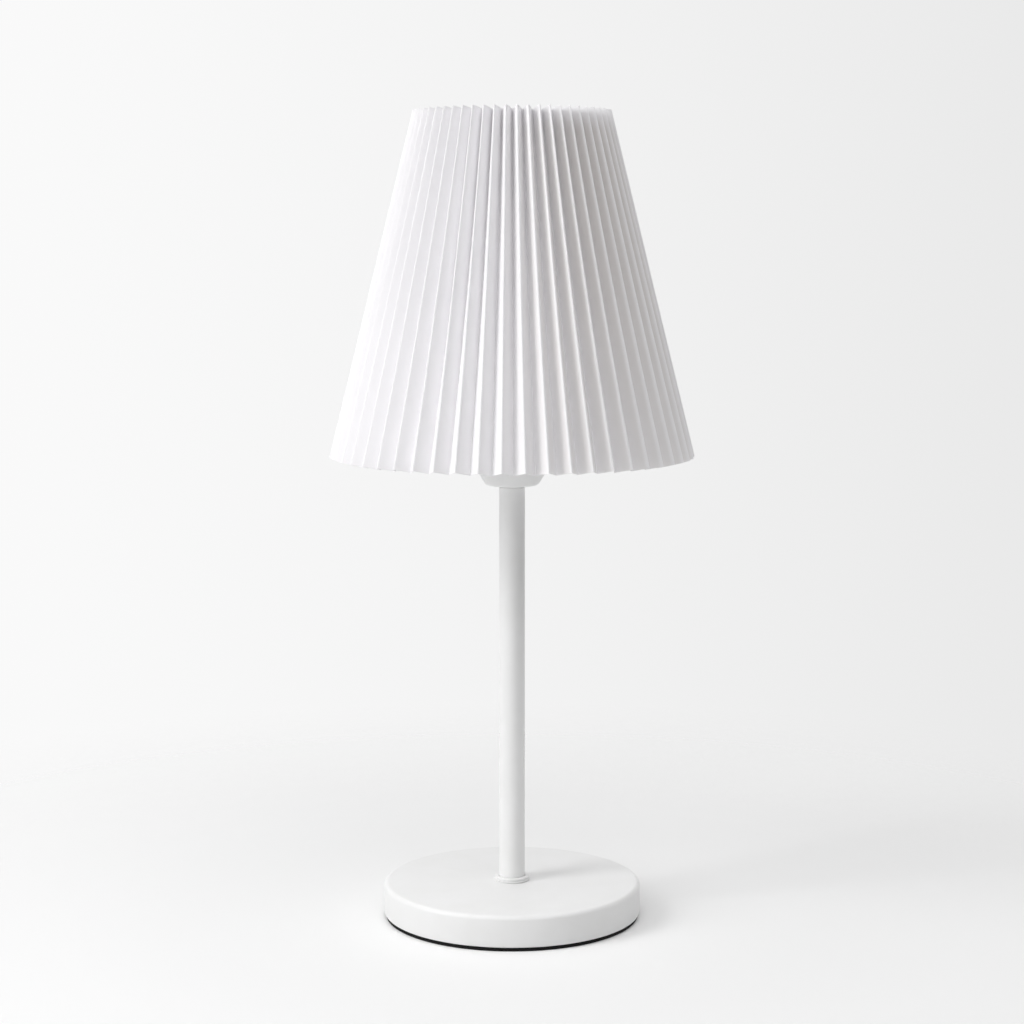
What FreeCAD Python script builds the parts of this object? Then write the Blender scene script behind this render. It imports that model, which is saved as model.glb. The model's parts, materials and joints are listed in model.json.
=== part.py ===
import FreeCAD, Part
import math
import os
import re
import Sketcher

# Cordless table lamp with a pleated shade.
# Millimetres, +Z up, the front of the lamp faces -Y.
# The origin is the centre of the pad's underside, where the lamp stands.

# Driving sizes, each set once.
sizes = {
    # Base: pressed shell over an iron weight, on a black pad
    "base_radius": 60.0,
    "shell_height": 14.5,
    "shell_wall": 1.2,
    "shell_edge_round": 2.2,
    "pad_inset": 0.8,
    "pad_thickness": 1.8,
    "weight_gap": 0.3,
    "weight_bevel": 1.2,
    "base_pocket_radius": 8.0,
    "base_pocket_depth": 6.0,
    # Stem, its threaded plugs and the trim collar
    "stem_radius": 6.0,
    "stem_wall": 1.0,
    "stem_length": 186.0,
    "plug_length": 16.0,
    "plug_gap": 0.05,
    "collar_radius": 8.3,
    "collar_step": 0.35,
    "collar_lower_height": 1.2,
    "collar_upper_height": 1.1,
    "collar_round": 0.3,
    "collar_gap": 0.05,
    # Stem screws, one from below and one from above
    "screw_radius": 3.0,
    "screw_head_radius": 5.25,
    "screw_head_height": 3.3,
    "screw_key_radius": 2.3,
    "screw_key_depth": 2.0,
    "thread_gap": 0.05,
    "hole_gap": 0.3,
    "washer_radius": 6.4,
    "washer_thickness": 1.2,
    "base_screw_length": 20.0,
    "head_screw_length": 16.0,
    # Flared cup under the shade
    "cup_corner_radius": 11.5,
    "cup_corner_rise": 0.65,
    "cup_corner_round": 2.6,
    "cup_rim_radius": 21.5,
    "cup_height": 16.3,
    "cup_floor": 1.8,
    "cup_rim_wall": 1.5,
    "cup_corner_wall": 0.9,
    # Inner frame: foot in the cup and sleeve round the cell
    "frame_gap": 0.12,
    "frame_floor": 2.2,
    "frame_pocket_radius": 7.0,
    "sleeve_floor_depth": 2.0,
    "sleeve_wall": 1.0,
    "spigot_height": 2.0,
    "spigot_gap": 0.15,
    # Cell and its foam discs
    "cell_radius": 9.2,
    "cell_length": 65.2,
    "cell_gap": 0.2,
    "cell_edge_round": 0.8,
    "cell_tip_radius": 3.2,
    "cell_tip_height": 1.0,
    "lower_foam_thickness": 4.0,
    "upper_foam_thickness": 0.8,
    "upper_foam_radius": 4.5,
    # Light core, strips and chips
    "core_width": 23.0,
    "core_wall": 1.0,
    "core_edge_round": 1.0,
    "strip_width": 10.0,
    "strip_thickness": 1.0,
    "strip_lift": 1.0,
    "chip_width": 2.8,
    "chip_height": 3.5,
    "chip_thickness": 0.7,
    "chip_pitch": 9.0,
    "chip_margin": 4.0,
    "chip_count": 7,
    # Opal tube round the lights
    "diffuser_radius": 18.5,
    "diffuser_wall": 1.6,
    "diffuser_overlap": 1.4,
    # Carrier and control board
    "carrier_thickness": 2.5,
    "standoff_height": 3.0,
    "standoff_radius": 2.6,
    "slot_gap": 0.15,
    "board_radius": 15.5,
    "board_gap": 0.25,
    "board_thickness": 1.6,
    # Leads from the cell to the board, with their plug and socket
    "lead_radius": 0.6,
    "lead_offset": 6.5,
    "lead_spread": 1.2,
    "lead_bend": 1.5,
    "lead_slot_gap": 0.9,
    "battery_plug_depth": 3.0,
    "battery_socket_depth": 3.2,
    "battery_plug_width": 6.0,
    "battery_plug_height": 4.4,
    # Parts on the board
    "inductor_width": 6.0,
    "inductor_height": 3.0,
    "inductor_offset": 10.2,
    "chip_body_length": 5.0,
    "chip_body_width": 4.0,
    "chip_body_height": 1.6,
    "chip_body_offset": 7.4,
    "indicator_length": 1.6,
    "indicator_width": 1.0,
    "indicator_height": 0.8,
    "indicator_offset": 12.0,
    "pipe_radius": 1.25,
    "pipe_gap": 0.1,
    # Charging socket, standing on the board and open at the top of the cap
    "usb_width": 8.9,
    "usb_depth": 3.2,
    "usb_height": 8.6,
    "usb_offset": 11.8,
    "usb_wall": 0.3,
    "usb_floor": 2.0,
    "usb_gap": 0.2,
    "usb_tongue_width": 6.7,
    "usb_tongue_thickness": 0.7,
    "usb_tongue_recess": 0.6,
    # Push button and the switch under it
    "button_radius": 6.0,
    "button_gap": 0.25,
    "button_flange_width": 1.2,
    "button_flange_thickness": 1.0,
    "button_rise": 0.8,
    "button_round": 0.6,
    "button_travel": 0.6,
    "switch_width": 6.2,
    "switch_height": 3.5,
    "plunger_radius": 1.7,
    "plunger_gap": 0.1,
    "plunger_depth": 0.8,
    # Cap of the head
    "cap_headroom": 7.3,
    "cap_top": 2.0,
    "cap_top_round": 1.5,
    "cap_spigot_depth": 1.1,
    # Long screws through the stack
    "tie_radius": 1.5,
    "tie_offset": 8.77,
    "tie_hole_gap": 0.1,
    "tie_head_radius": 2.9,
    "tie_head_height": 1.5,
    "tie_key_radius": 1.1,
    "tie_key_depth": 1.0,
    "tie_length": 90.0,
    "tie_end_gap": 0.5,
    # Pleated shade: radii over the outer folds, and the width of one face of a pleat
    "shade_bottom_radius": 84.0,
    "shade_top_radius": 44.7,
    "shade_height": 156.9,
    "shade_drop": 1.9,
    "pleat_count": 54,
    "pleat_face_width": 7.7,
    "skin_thickness": 0.5,
    # Wire frame of the shade
    "centre_ring_gap": 0.5,
    "centre_ring_width": 2.3,
    "centre_ring_height": 3.0,
    "bottom_wire_radius": 1.5,
    "top_wire_radius": 1.25,
    "arm_radius": 1.3,
    "arm_count": 3,
    "glue_gap": 0.1,
    "top_ring_drop": 3.0,
}

# Heights and radii worked out from the driving sizes.
places = {
    "shell_top": "pad_thickness + shell_height",
    "weight_top": "shell_top - shell_wall",
    "base_pocket_top": "pad_thickness + base_pocket_depth",
    "base_washer_bottom": "base_pocket_top - washer_thickness",
    "collar_shoulder": "shell_top + collar_lower_height",
    "collar_top": "collar_shoulder + collar_upper_height",
    "collar_upper_radius": "collar_radius - collar_step",
    "stem_top": "shell_top + stem_length",
    "cup_corner_height": "stem_top + cup_corner_rise",
    "cup_floor_top": "stem_top + cup_floor",
    "cup_inner_corner": "cup_corner_radius - cup_corner_wall",
    "cup_rim_inner": "cup_rim_radius - cup_rim_wall",
    "rim_height": "stem_top + cup_height",
    "frame_floor_top": "cup_floor_top + frame_floor",
    "head_washer_top": "frame_floor_top + washer_thickness",
    "sleeve_floor": "rim_height - sleeve_floor_depth",
    "spigot_top": "rim_height + spigot_height",
    "sleeve_inner": "cell_radius + cell_gap",
    "sleeve_outer": "sleeve_inner + sleeve_wall",
    "cell_bottom": "sleeve_floor + lower_foam_thickness",
    "cell_top": "cell_bottom + cell_length",
    "cell_shoulder": "cell_top - cell_tip_height",
    "carrier_bottom": "cell_top + upper_foam_thickness",
    "carrier_top": "carrier_bottom + carrier_thickness",
    "board_bottom": "carrier_top + standoff_height",
    "board_top": "board_bottom + board_thickness",
    "core_half": "core_width / 2",
    "strip_bottom": "spigot_top + strip_lift",
    "diffuser_inner": "diffuser_radius - diffuser_wall",
    "diffuser_top": "carrier_top + diffuser_overlap",
    "spigot_radius": "diffuser_inner - spigot_gap",
    "cap_inner": "board_radius + board_gap",
    "cap_spigot_bottom": "diffuser_top - cap_spigot_depth",
    "cap_ceiling": "board_top + cap_headroom",
    "cap_height": "cap_ceiling + cap_top",
    "flange_bottom": "cap_ceiling - button_flange_thickness",
    "switch_top": "board_top + switch_height",
    "plug_middle": "board_top + battery_plug_height / 2",
    "tie_bottom": "cap_height - tie_length",
    "shade_bottom": "rim_height - shade_drop",
    "shade_top": "shade_bottom + shade_height",
    "half_angle": "180 / pleat_count",
    "bottom_swing": "shade_bottom_radius * sin(half_angle * 1 deg)",
    "top_swing": "shade_top_radius * sin(half_angle * 1 deg)",
    "bottom_valley": "shade_bottom_radius * cos(half_angle * 1 deg)"
                     " - sqrt(pleat_face_width ^ 2 - bottom_swing ^ 2)",
    "top_valley": "shade_top_radius * cos(half_angle * 1 deg)"
                  " - sqrt(pleat_face_width ^ 2 - top_swing ^ 2)",
    "shade_slope": "(shade_bottom_radius - shade_top_radius) / shade_height",
    "bottom_valley_height": "shade_bottom - (shade_bottom_radius - bottom_valley) * shade_slope",
    "top_valley_height": "shade_top - (shade_top_radius - top_valley) * shade_slope",
    "bottom_valley_inner": "bottom_valley - skin_thickness * pleat_face_width / bottom_swing",
    "top_valley_inner": "top_valley - skin_thickness * pleat_face_width / top_swing",
    "fold_slope": "(bottom_valley_inner - top_valley_inner)"
                  " / (top_valley_height - bottom_valley_height)",
    "fold_stretch": "sqrt(1 + fold_slope ^ 2)",
    "centre_ring_inner": "diffuser_radius + centre_ring_gap",
    "centre_ring_outer": "centre_ring_inner + centre_ring_width",
    "centre_ring_top": "rim_height + centre_ring_height",
    "arm_height": "rim_height + centre_ring_height / 2",
    "bottom_ring_radius": "bottom_valley_inner"
                          " - fold_slope * (arm_height - bottom_valley_height)"
                          " - (bottom_wire_radius + glue_gap) * fold_stretch",
    "top_ring_height": "top_valley_height - top_ring_drop",
    "top_ring_radius": "top_valley_inner"
                       " + fold_slope * top_ring_drop"
                       " - (top_wire_radius + glue_gap) * fold_stretch",
}

doc = FreeCAD.newDocument("TableLamp")
sizeSheet = doc.addObject("Spreadsheet::Sheet", "Sizes")
placeSheet = doc.addObject("Spreadsheet::Sheet", "Places")
subparts = {}


def linked(formula):
    """The formula with each named size or place written as its cell."""
    def cell(match):
        word = match.group(0)
        if word in sizes:
            return "Sizes." + word
        if word in places:
            return "Places." + word
        return word
    return re.sub(r"[a-z_]+", cell, formula)


def fill_sheets():
    for row, (name, number) in enumerate(sizes.items(), start=1):
        sizeSheet.set(f"A{row}", name.replace("_", " "))
        sizeSheet.set(f"B{row}", str(number))
        sizeSheet.setAlias(f"B{row}", name)
    doc.recompute()
    for row, (name, formula) in enumerate(places.items(), start=1):
        placeSheet.set(f"A{row}", name.replace("_", " "))
        placeSheet.set(f"B{row}", "=" + linked(formula))
        placeSheet.setAlias(f"B{row}", name)
        doc.recompute()


def value(name):
    sheet = sizeSheet if name in sizes else placeSheet
    return float(getattr(sheet, name))


def bind(thing, **formulas):
    """Tie properties of an object to the sheets; x, y and z stand for its place."""
    for name, formula in formulas.items():
        path = f"Placement.Base.{name}" if name in ("x", "y", "z") else name
        thing.setExpression(path, linked(formula))
    return thing


def keep(label, thing):
    """Name an object as a sub-part of the lamp."""
    thing.Label = label
    subparts[label] = thing
    return thing


# Sketches

def new_body(name):
    return doc.addObject("PartDesign::Body", name)


def origin_plane(body, role):
    return [item for item in body.Origin.OriginFeatures if item.Role == role][0]


def new_sketch(body, role, height=None):
    sketch = body.newObject("Sketcher::SketchObject", body.Name + "_sketch")
    sketch.AttachmentSupport = [(origin_plane(body, role), "")]
    sketch.MapMode = "FlatFace"
    if height:
        sketch.setExpression("AttachmentOffset.Base.z", linked(height))
    return sketch


def fix_point(sketch, line, end, across, up):
    """Hold one point of a sketch at two formulas; a zero puts it on the axis."""
    drawn = sketch.getPoint(line, end)
    for kind, axis, start, formula in (
        ("DistanceX", -2, drawn.x, across),
        ("DistanceY", -1, drawn.y, up),
    ):
        if formula == "0":
            sketch.addConstraint(Sketcher.Constraint("PointOnObject", line, end, axis))
            continue
        index = sketch.addConstraint(Sketcher.Constraint(kind, line, end, start))
        sketch.setExpression(f"Constraints[{index}]", linked(formula))


def draw_outline(sketch, corners):
    """Closed outline of straight lines through corners given as formula pairs."""
    first = sketch.GeometryCount
    count = len(corners)
    rough = [
        FreeCAD.Vector(
            math.cos(2 * math.pi * step / count) + 1,
            math.sin(2 * math.pi * step / count) + 1,
            0,
        )
        for step in range(count)
    ]
    for step in range(count):
        line = Part.LineSegment(rough[step], rough[(step + 1) % count])
        sketch.addGeometry(line)
    for step in range(count):
        after = first + (step + 1) % count
        sketch.addConstraint(Sketcher.Constraint("Coincident", first + step, 2, after, 1))
    for step, (across, up) in enumerate(corners):
        fix_point(sketch, first + step, 1, across, up)


def draw_rectangle(sketch, left, right, front, back):
    draw_outline(sketch, [(left, front), (right, front), (right, back), (left, back)])


def draw_circle(sketch, radius, across="0", up="0"):
    circle = sketch.addGeometry(Part.Circle(FreeCAD.Vector(1, 1, 0), FreeCAD.Vector(0, 0, 1), 1))
    index = sketch.addConstraint(Sketcher.Constraint("Radius", circle, 1.0))
    sketch.setExpression(f"Constraints[{index}]", linked(radius))
    fix_point(sketch, circle, 3, across, up)


# Features

def revolve(name, corners):
    """Body turned round Z from an outline of radius and height pairs."""
    body = new_body(name)
    sketch = new_sketch(body, "XZ_Plane")
    draw_outline(sketch, corners)
    turned = body.newObject("PartDesign::Revolution", name + "_turned")
    turned.Profile = sketch
    turned.ReferenceAxis = (sketch, ["V_Axis"])
    turned.Angle = 360
    return body


def pad(body, sketch, length):
    raised = body.newObject("PartDesign::Pad", body.Name + "_pad")
    raised.Profile = sketch
    raised.setExpression("Length", linked(length))
    return raised


def pocket(body, sketch, length):
    """Cut down from the sketch by a length."""
    cut = body.newObject("PartDesign::Pocket", body.Name + "_pocket")
    cut.Profile = sketch
    cut.setExpression("Length", linked(length))
    return cut


def fillet_rings(body, radius, rings):
    """Round the circular edges found at the named radius and height."""
    doc.recompute()
    base = body.Tip
    found = []
    for radius_name, height_name in rings:
        found += ring_edges(base.Shape, value(radius_name), value(height_name))
    return fillet_edges(body, base, found, radius)


def ring_edges(shape, radius, height):
    near = 1e-4 * radius
    found = []
    for number, edge in enumerate(shape.Edges, start=1):
        curve = edge.Curve
        if not isinstance(curve, Part.Circle):
            continue
        if abs(curve.Radius - radius) < near and abs(curve.Center.z - height) < near:
            found.append(f"Edge{number}")
    return found


def upright_edges(shape, half_width):
    """Upright edges at the corners of a square."""
    near = 1e-4 * half_width
    found = []
    for number, edge in enumerate(shape.Edges, start=1):
        low, high = edge.Vertexes[0].Point, edge.Vertexes[-1].Point
        upright = abs(low.x - high.x) < near and abs(low.y - high.y) < near
        on_corner = abs(abs(low.x) - half_width) < near and abs(abs(low.y) - half_width) < near
        if upright and on_corner:
            found.append(f"Edge{number}")
    return found


def fillet_edges(body, base, edges, radius):
    rounding = body.newObject("PartDesign::Fillet", body.Name + "_round")
    rounding.Base = (base, edges)
    rounding.setExpression("Radius", linked(radius))
    return rounding


def cut_from(name, base, tool):
    result = doc.addObject("Part::Cut", name)
    result.Base = base
    result.Tool = tool
    return result


def gather(name, pieces):
    group = doc.addObject("Part::Compound", name)
    group.Links = pieces
    return group


def box(name, wide, deep, tall, left, front, bottom):
    block = doc.addObject("Part::Box", name)
    return bind(block, Length=wide, Width=deep, Height=tall, x=left, y=front, z=bottom)


def rod(name, radius, tall, bottom, left="0", front="0"):
    post = doc.addObject("Part::Cylinder", name)
    return bind(post, Radius=radius, Height=tall, x=left, y=front, z=bottom)


def key_hole(name, radius, depth, bottom, left="0", front="0"):
    """Six-sided recess for the driver."""
    prism = doc.addObject("Part::Prism", name)
    prism.Polygon = 6
    return bind(prism, Circumradius=radius, Height=depth, x=left, y=front, z=bottom)


# Base

def make_base():
    pad_disc = revolve("base_pad_body", [
        ("0", "0"),
        ("base_radius - pad_inset", "0"),
        ("base_radius - pad_inset", "pad_thickness"),
        ("0", "pad_thickness"),
    ])
    keep("base_pad", pad_disc)

    shell = revolve("base_shell_body", [
        ("screw_radius + hole_gap", "weight_top"),
        ("base_radius - shell_wall", "weight_top"),
        ("base_radius - shell_wall", "pad_thickness"),
        ("base_radius", "pad_thickness"),
        ("base_radius", "shell_top"),
        ("screw_radius + hole_gap", "shell_top"),
    ])
    fillet_rings(shell, "shell_edge_round", [("base_radius", "shell_top")])
    keep("base_shell", shell)

    weight = revolve("base_weight_body", [
        ("base_pocket_radius", "pad_thickness"),
        ("base_radius - shell_wall - weight_gap", "pad_thickness"),
        ("base_radius - shell_wall - weight_gap", "weight_top - weight_bevel"),
        ("base_radius - shell_wall - weight_gap - weight_bevel", "weight_top"),
        ("screw_radius + hole_gap", "weight_top"),
        ("screw_radius + hole_gap", "base_pocket_top"),
        ("base_pocket_radius", "base_pocket_top"),
    ])
    keep("base_weight", weight)
    keep("base_washer", washer("base_washer_body", "base_washer_bottom"))

    screw = revolve("base_screw_body", [
        ("0", "base_washer_bottom - screw_head_height"),
        ("screw_head_radius", "base_washer_bottom - screw_head_height"),
        ("screw_head_radius", "base_washer_bottom"),
        ("screw_radius", "base_washer_bottom"),
        ("screw_radius", "base_washer_bottom + base_screw_length"),
        ("0", "base_washer_bottom + base_screw_length"),
    ])
    key = key_hole("base_screw_key", "screw_key_radius", "screw_key_depth",
                   "base_washer_bottom - screw_head_height")
    keep("base_screw", cut_from("base_screw_cut", screw, key))


def washer(name, bottom):
    return revolve(name, [
        ("screw_radius + hole_gap", bottom),
        ("washer_radius", bottom),
        ("washer_radius", bottom + " + washer_thickness"),
        ("screw_radius + hole_gap", bottom + " + washer_thickness"),
    ])


# Stem

def make_stem():
    collar = revolve("stem_collar_body", [
        ("stem_radius + collar_gap", "shell_top"),
        ("collar_radius", "shell_top"),
        ("collar_radius", "collar_shoulder"),
        ("collar_upper_radius", "collar_shoulder"),
        ("collar_upper_radius", "collar_top"),
        ("stem_radius + collar_gap", "collar_top"),
    ])
    fillet_rings(collar, "collar_round", [
        ("collar_radius", "collar_shoulder"),
        ("collar_upper_radius", "collar_top"),
    ])
    keep("stem_collar", collar)

    tube = revolve("stem_tube_body", [
        ("stem_radius - stem_wall", "shell_top"),
        ("stem_radius", "shell_top"),
        ("stem_radius", "stem_top"),
        ("stem_radius - stem_wall", "stem_top"),
    ])
    keep("stem_tube", tube)
    keep("stem_foot_insert", threaded_plug("foot_insert_body", "shell_top"))
    keep("stem_head_insert", threaded_plug("head_insert_body", "stem_top - plug_length"))


def threaded_plug(name, bottom):
    """Plug brazed into the tube, tapped for a stem screw."""
    return revolve(name, [
        ("screw_radius + thread_gap", bottom),
        ("stem_radius - stem_wall - plug_gap", bottom),
        ("stem_radius - stem_wall - plug_gap", bottom + " + plug_length"),
        ("screw_radius + thread_gap", bottom + " + plug_length"),
    ])


# Cup and inner frame

def make_cup():
    cup = revolve("head_cup_body", [
        ("screw_radius + hole_gap", "stem_top"),
        ("stem_radius", "stem_top"),
        ("cup_corner_radius", "cup_corner_height"),
        ("cup_rim_radius", "rim_height"),
        ("cup_rim_inner", "rim_height"),
        ("cup_inner_corner", "cup_floor_top"),
        ("screw_radius + hole_gap", "cup_floor_top"),
    ])
    fillet_rings(cup, "cup_corner_round", [("cup_corner_radius", "cup_corner_height")])
    keep("head_cup", cup)
    keep("head_washer", washer("head_washer_body", "frame_floor_top"))

    screw = revolve("head_screw_body", [
        ("0", "head_washer_top - head_screw_length"),
        ("screw_radius", "head_washer_top - head_screw_length"),
        ("screw_radius", "head_washer_top"),
        ("screw_head_radius", "head_washer_top"),
        ("screw_head_radius", "head_washer_top + screw_head_height"),
        ("0", "head_washer_top + screw_head_height"),
    ])
    key = key_hole("head_screw_key", "screw_key_radius", "screw_key_depth",
                   "head_washer_top + screw_head_height - screw_key_depth")
    keep("head_screw", cut_from("head_screw_cut", screw, key))


def make_frame():
    frame = revolve("inner_frame_body", [
        ("screw_radius + hole_gap", "cup_floor_top"),
        ("cup_inner_corner - frame_gap", "cup_floor_top"),
        ("cup_rim_inner - frame_gap", "rim_height"),
        ("spigot_radius", "rim_height"),
        ("spigot_radius", "spigot_top"),
        ("sleeve_outer", "spigot_top"),
        ("sleeve_outer", "carrier_bottom"),
        ("sleeve_inner", "carrier_bottom"),
        ("sleeve_inner", "sleeve_floor"),
        ("frame_pocket_radius", "sleeve_floor"),
        ("frame_pocket_radius", "frame_floor_top"),
        ("screw_radius + hole_gap", "frame_floor_top"),
    ])
    holes = new_sketch(frame, "XY_Plane", "spigot_top")
    draw_tie_circles(holes, "tie_radius + thread_gap")
    pocket(frame, holes, "spigot_top - tie_bottom + tie_end_gap")
    keep("inner_frame", frame)


def draw_tie_circles(sketch, radius):
    """Two circles on opposite corners of the light core."""
    draw_circle(sketch, radius, "tie_offset", "tie_offset")
    draw_circle(sketch, radius, "-tie_offset", "-tie_offset")


# Cell, light core, strips and opal tube

def make_cell():
    cell = revolve("battery_cell_body", [
        ("0", "cell_bottom"),
        ("cell_radius", "cell_bottom"),
        ("cell_radius", "cell_shoulder"),
        ("cell_tip_radius", "cell_shoulder"),
        ("cell_tip_radius", "cell_top"),
        ("0", "cell_top"),
    ])
    fillet_rings(cell, "cell_edge_round", [
        ("cell_radius", "cell_bottom"),
        ("cell_radius", "cell_shoulder"),
    ])
    keep("battery_cell", cell)
    keep("cell_pad_lower", rod("lower_foam", "sleeve_inner - cell_gap",
                               "lower_foam_thickness", "sleeve_floor"))
    keep("cell_pad_upper", rod("upper_foam", "upper_foam_radius",
                               "upper_foam_thickness", "cell_top"))


def make_lights():
    core = new_body("led_core_body")
    section = new_sketch(core, "XY_Plane", "spigot_top")
    inside = "core_half - core_wall"
    draw_rectangle(section, "-core_half", "core_half", "-core_half", "core_half")
    draw_rectangle(section, f"-({inside})", inside, f"-({inside})", inside)
    raised = pad(core, section, "carrier_bottom - spigot_top")
    doc.recompute()
    corners = upright_edges(raised.Shape, value("core_half"))
    fillet_edges(core, raised, corners, "core_edge_round")
    keep("led_core", core)

    sides = 4
    for side in range(sides):
        turn = FreeCAD.Rotation(FreeCAD.Vector(0, 0, 1), 360 * side / sides)
        strip = box(f"strip_{side + 1}", "strip_thickness", "strip_width",
                    "board_bottom - strip_bottom",
                    "core_half", "-strip_width / 2", "strip_bottom")
        turned = gather(f"strip_turned_{side + 1}", [strip])
        turned.Placement = FreeCAD.Placement(FreeCAD.Vector(), turn)
        keep(f"led_strip_{side + 1}", turned)

        chips = [
            box(f"chip_{side + 1}_{step + 1}", "chip_thickness", "chip_width", "chip_height",
                "core_half + strip_thickness", "-chip_width / 2",
                f"strip_bottom + chip_margin + {step} * chip_pitch")
            for step in range(round(value("chip_count")))
        ]
        row = gather(f"chip_row_{side + 1}", chips)
        row.Placement = FreeCAD.Placement(FreeCAD.Vector(), turn)
        keep(f"led_chips_{side + 1}", row)

    diffuser = revolve("diffuser_body", [
        ("diffuser_inner", "rim_height"),
        ("diffuser_radius", "rim_height"),
        ("diffuser_radius", "diffuser_top"),
        ("diffuser_inner", "diffuser_top"),
    ])
    keep("diffuser_tube", diffuser)


# Carrier, board and what is on it

def make_carrier():
    carrier = revolve("board_carrier_body", [
        ("0", "carrier_bottom"),
        ("spigot_radius", "carrier_bottom"),
        ("spigot_radius", "carrier_top"),
        ("0", "carrier_top"),
    ])
    standoffs = new_sketch(carrier, "XY_Plane", "carrier_top")
    draw_tie_circles(standoffs, "standoff_radius")
    draw_circle(standoffs, "standoff_radius", "tie_offset", "-tie_offset")
    draw_circle(standoffs, "standoff_radius", "-tie_offset", "tie_offset")
    pad(carrier, standoffs, "standoff_height")
    holes = new_sketch(carrier, "XY_Plane", "board_bottom")
    draw_tie_circles(holes, "tie_radius + tie_hole_gap")
    pocket(carrier, holes, "board_bottom - carrier_bottom")
    slot = new_sketch(carrier, "XY_Plane", "carrier_top")
    draw_rectangle(slot, "core_half - slot_gap", "core_half + strip_thickness + slot_gap",
                   "-strip_width / 2 - slot_gap", "strip_width / 2 + slot_gap")
    cut = pocket(carrier, slot, "carrier_thickness")
    slots = carrier.newObject("PartDesign::PolarPattern", "carrier_slots")
    slots.Originals = [cut]
    slots.Axis = (slot, ["N_Axis"])
    slots.Angle = 360
    slots.Occurrences = 4
    carrier.Tip = slots
    lead_slot = new_sketch(carrier, "XY_Plane", "carrier_top")
    draw_lead_slot(lead_slot)
    pocket(carrier, lead_slot, "carrier_thickness")
    keep("board_carrier", carrier)


def draw_lead_slot(sketch):
    """Opening that both battery leads pass through."""
    reach = "lead_spread + lead_radius + lead_slot_gap"
    draw_rectangle(sketch, "-lead_offset - lead_slot_gap", "-lead_offset + lead_slot_gap",
                   f"-({reach})", reach)


def make_board():
    board = revolve("control_board_body", [
        ("0", "board_bottom"),
        ("board_radius", "board_bottom"),
        ("board_radius", "board_top"),
        ("0", "board_top"),
    ])
    holes = new_sketch(board, "XY_Plane", "board_top")
    draw_tie_circles(holes, "tie_radius + tie_hole_gap")
    draw_lead_slot(holes)
    pocket(board, holes, "board_thickness")
    keep("control_board", board)

    keep("power_inductor", box(
        "inductor", "inductor_width", "inductor_width", "inductor_height",
        "inductor_offset - inductor_width / 2", "-inductor_width / 2", "board_top"))
    keep("charge_chip", box(
        "chip_body", "chip_body_length", "chip_body_width", "chip_body_height",
        "-chip_body_length / 2", "-chip_body_offset - chip_body_width / 2", "board_top"))
    keep("indicator_led", box(
        "indicator", "indicator_length", "indicator_width", "indicator_height",
        "-indicator_length / 2", "-indicator_offset - indicator_width / 2", "board_top"))
    keep("light_pipe", rod(
        "pipe", "pipe_radius", "cap_height - board_top - indicator_height",
        "board_top + indicator_height", "0", "-indicator_offset"))

    plug_face = "-lead_offset - lead_bend"
    keep("battery_plug", box(
        "plug", "battery_plug_depth", "battery_plug_width", "battery_plug_height",
        plug_face + " - battery_plug_depth", "-battery_plug_width / 2", "board_top"))
    keep("battery_socket", box(
        "socket", "battery_socket_depth", "battery_plug_width", "battery_plug_height",
        plug_face + " - battery_plug_depth - battery_socket_depth",
        "-battery_plug_width / 2", "board_top"))
    keep("red_lead", lead("red", -value("lead_spread")))
    keep("black_lead", lead("black", value("lead_spread")))


def lead(name, aside):
    """Lead that rises from the cell's shoulder and bends over into the plug."""
    offset = value("lead_offset")
    bend = value("lead_bend")
    low = FreeCAD.Vector(-offset, aside, value("cell_shoulder"))
    turn = FreeCAD.Vector(-offset, aside, value("plug_middle") - bend)
    end = FreeCAD.Vector(-offset - bend, aside, value("plug_middle"))
    middle = FreeCAD.Vector(
        -offset - bend * (1 - math.sqrt(0.5)),
        aside,
        value("plug_middle") - bend * (1 - math.sqrt(0.5)),
    )
    path = Part.Wire([
        Part.LineSegment(low, turn).toShape(),
        Part.Arc(turn, middle, end).toShape(),
    ])
    section = Part.Wire(Part.makeCircle(value("lead_radius"), low, FreeCAD.Vector(0, 0, 1)))
    piece = doc.addObject("Part::Feature", name + "_wire")
    piece.Shape = path.makePipeShell([section], True, False)
    return piece


def make_usb():
    """Charging socket: a flat-sided tube with round ends and a tongue inside."""
    body = new_body("usb_socket_body")
    outside = new_sketch(body, "XY_Plane", "board_top")
    draw_stadium(outside, "usb_width", "usb_depth")
    pad(body, outside, "usb_height")
    inside = new_sketch(body, "XY_Plane", "board_top + usb_height")
    draw_stadium(inside, "usb_width - 2 * usb_wall", "usb_depth - 2 * usb_wall")
    pocket(body, inside, "usb_height - usb_floor")
    tongue = new_sketch(body, "XY_Plane", "board_top + usb_floor")
    draw_rectangle(tongue, "-usb_tongue_width / 2", "usb_tongue_width / 2",
                   "usb_offset - usb_tongue_thickness / 2",
                   "usb_offset + usb_tongue_thickness / 2")
    pad(body, tongue, "usb_height - usb_floor - usb_tongue_recess")
    keep("usb_socket", body)


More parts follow.
